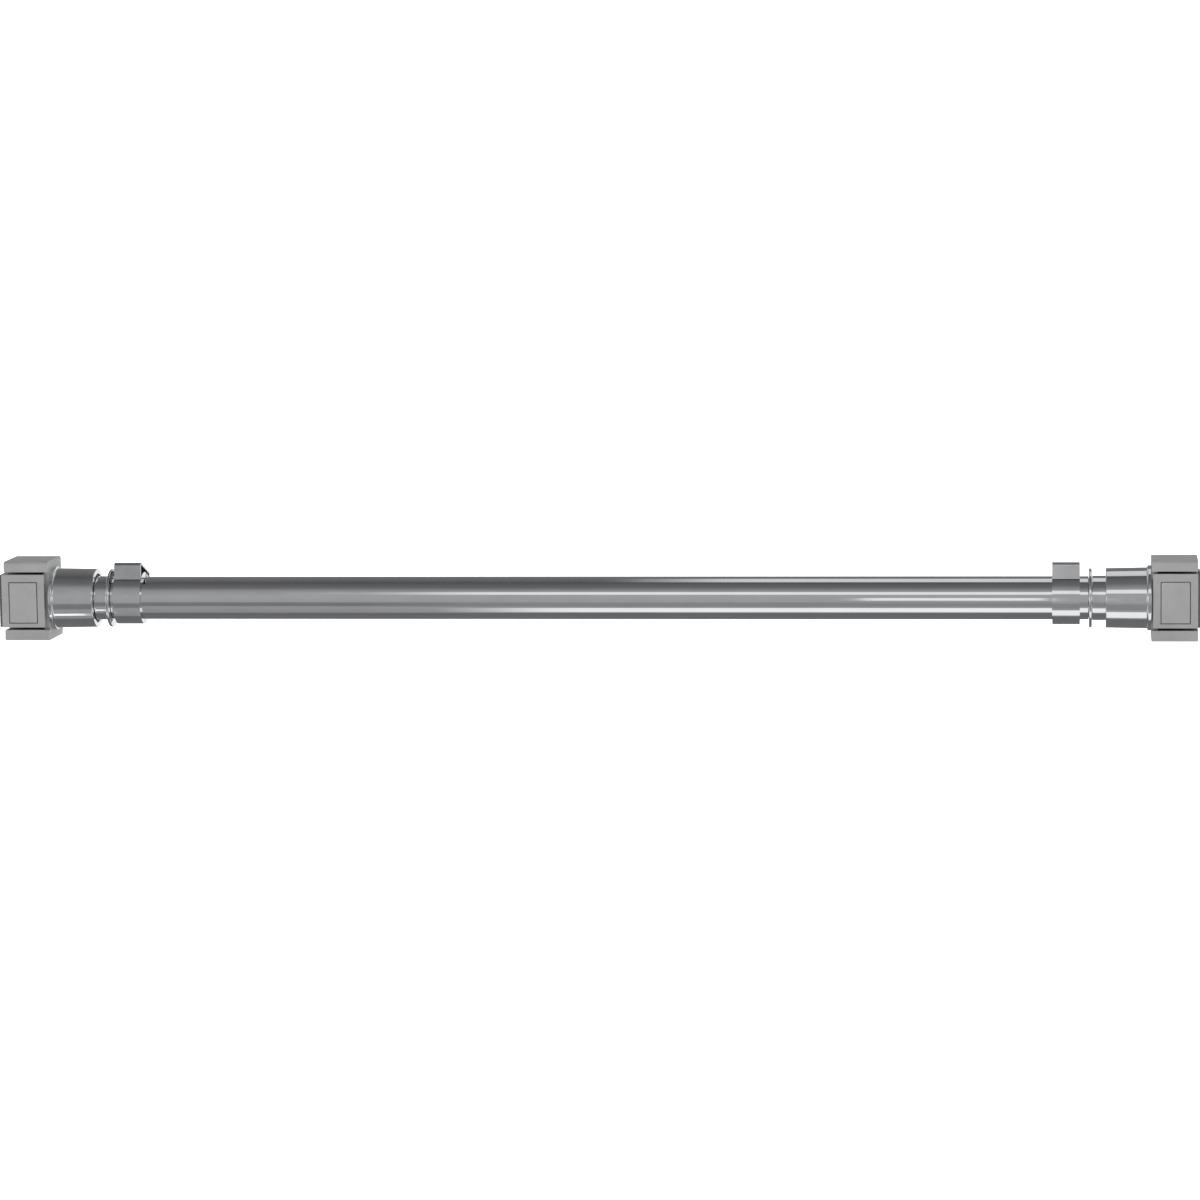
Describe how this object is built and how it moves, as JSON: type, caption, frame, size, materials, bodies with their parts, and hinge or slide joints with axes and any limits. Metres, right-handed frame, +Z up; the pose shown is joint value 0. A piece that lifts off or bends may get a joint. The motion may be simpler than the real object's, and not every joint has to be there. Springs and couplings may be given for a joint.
{
  "type": "window security bar",
  "caption": "Telescoping round bar braced between window jambs, with screw-jacked sprung feet in square end housings and flip-lever locking collars.",
  "frame": {"origin": "on the bar's axis at mid-length, which is the centre of the part's box", "axes": "+X along the bar to the right end, +Y from the room side towards the window, +Z up"},
  "size_m": [0.7, 0.0376, 0.0466],
  "materials": {
    "chrome_tube": "polished, drawn lengthways",
    "chrome_fittings": "polished, turned",
    "chrome_lever": "polished bent sheet",
    "satin_zinc": "satin grey lacquer over a die casting",
    "satin_cover": "satin grey lacquer",
    "bright_steel": "ground bright",
    "zinc_steel": "zinc plated",
    "spring_steel": "drawn wire",
    "black_acetal": "turned",
    "pad_rubber": "ribbed, matt"
  },
  "bodies": {
    "main_bar": {"main_tube": "chrome_tube", "left_collar": "chrome_fittings", "left_clamp_bolt": "zinc_steel", "left_clamp_nut": "zinc_steel", "left_lever_pin": "zinc_steel", "right_collar": "chrome_fittings", "right_clamp_bolt": "zinc_steel", "right_clamp_nut": "zinc_steel", "right_lever_pin": "zinc_steel"},
    "left_inner_tube": {"left_spigot": "bright_steel", "left_retaining_ring": "spring_steel"},
    "left_turning_ring": {"left_jack_ring": "chrome_fittings"},
    "left_end_block": {"left_housing": "satin_zinc", "left_cup": "chrome_fittings", "left_neck_bush": "black_acetal", "left_jack_screw": "zinc_steel", "left_screw_washer": "zinc_steel", "left_screw_nut": "zinc_steel", "left_guide_screws": "zinc_steel", "left_foot_springs": "spring_steel"},
    "left_shoe": {"left_foot": "satin_zinc", "left_inlay": "satin_cover", "left_wall_pad": "pad_rubber"},
    "left_lock_lever": {"left_lever": "chrome_lever"},
    "right_inner_tube": {"right_spigot": "bright_steel", "right_retaining_ring": "spring_steel"},
    "right_turning_ring": {"right_jack_ring": "chrome_fittings"},
    "right_end_block": {"right_housing": "satin_zinc", "right_cup": "chrome_fittings", "right_neck_bush": "black_acetal", "right_jack_screw": "zinc_steel", "right_screw_washer": "zinc_steel", "right_screw_nut": "zinc_steel", "right_guide_screws": "zinc_steel", "right_foot_springs": "spring_steel"},
    "right_shoe": {"right_foot": "satin_zinc", "right_inlay": "satin_cover", "right_wall_pad": "pad_rubber"},
    "right_lock_lever": {"right_lever": "chrome_lever"}
  },
  "joints": [
    {"name": "left_extend", "type": "slide", "parent": "main_bar", "child": "left_inner_tube", "axis": [-1, 0, 0], "range_m": [0, 0.05]},
    {"name": "left_ring_turn", "type": "hinge", "parent": "left_inner_tube", "child": "left_turning_ring", "pos_m": [-0.285, 0, 0], "axis": [-1, 0, 0], "range_deg": [-601, 361]},
    {"name": "left_jack", "type": "slide", "parent": "left_inner_tube", "child": "left_end_block", "axis": [-1, 0, 0], "range_m": [-0.006, 0.01]},
    {"name": "left_foot_slide", "type": "slide", "parent": "left_end_block", "child": "left_shoe", "axis": [-1, 0, 0], "range_m": [-0.0015, 0], "stiffness_N_per_m": 3000, "deforming": ["left_foot_springs"]},
    {"name": "left_lever_flip", "type": "hinge", "parent": "main_bar", "child": "left_lock_lever", "pos_m": [-0.2745, 0.01354, 0.01077], "axis": [-1, 0, 0], "range_deg": [0, 105]},
    {"name": "right_extend", "type": "slide", "parent": "main_bar", "child": "right_inner_tube", "axis": [1, 0, 0], "range_m": [0, 0.05]},
    {"name": "right_ring_turn", "type": "hinge", "parent": "right_inner_tube", "child": "right_turning_ring", "pos_m": [0.2865, 0, 0], "axis": [1, 0, 0], "range_deg": [-601, 361]},
    {"name": "right_jack", "type": "slide", "parent": "right_inner_tube", "child": "right_end_block", "axis": [1, 0, 0], "range_m": [-0.006, 0.01]},
    {"name": "right_foot_slide", "type": "slide", "parent": "right_end_block", "child": "right_shoe", "axis": [1, 0, 0], "range_m": [0, 0.0015], "stiffness_N_per_m": 3000, "deforming": ["right_foot_springs"]},
    {"name": "right_lever_flip", "type": "hinge", "parent": "main_bar", "child": "right_lock_lever", "pos_m": [0.2735, 0.01354, 0.01077], "axis": [-1, 0, 0], "range_deg": [0, 105]}
  ],
  "couplings": [
    {"joint": "left_ring_turn", "follows": "left_jack", "rad_per_m": -1047.2},
    {"joint": "right_ring_turn", "follows": "right_jack", "rad_per_m": -1047.2}
  ]
}
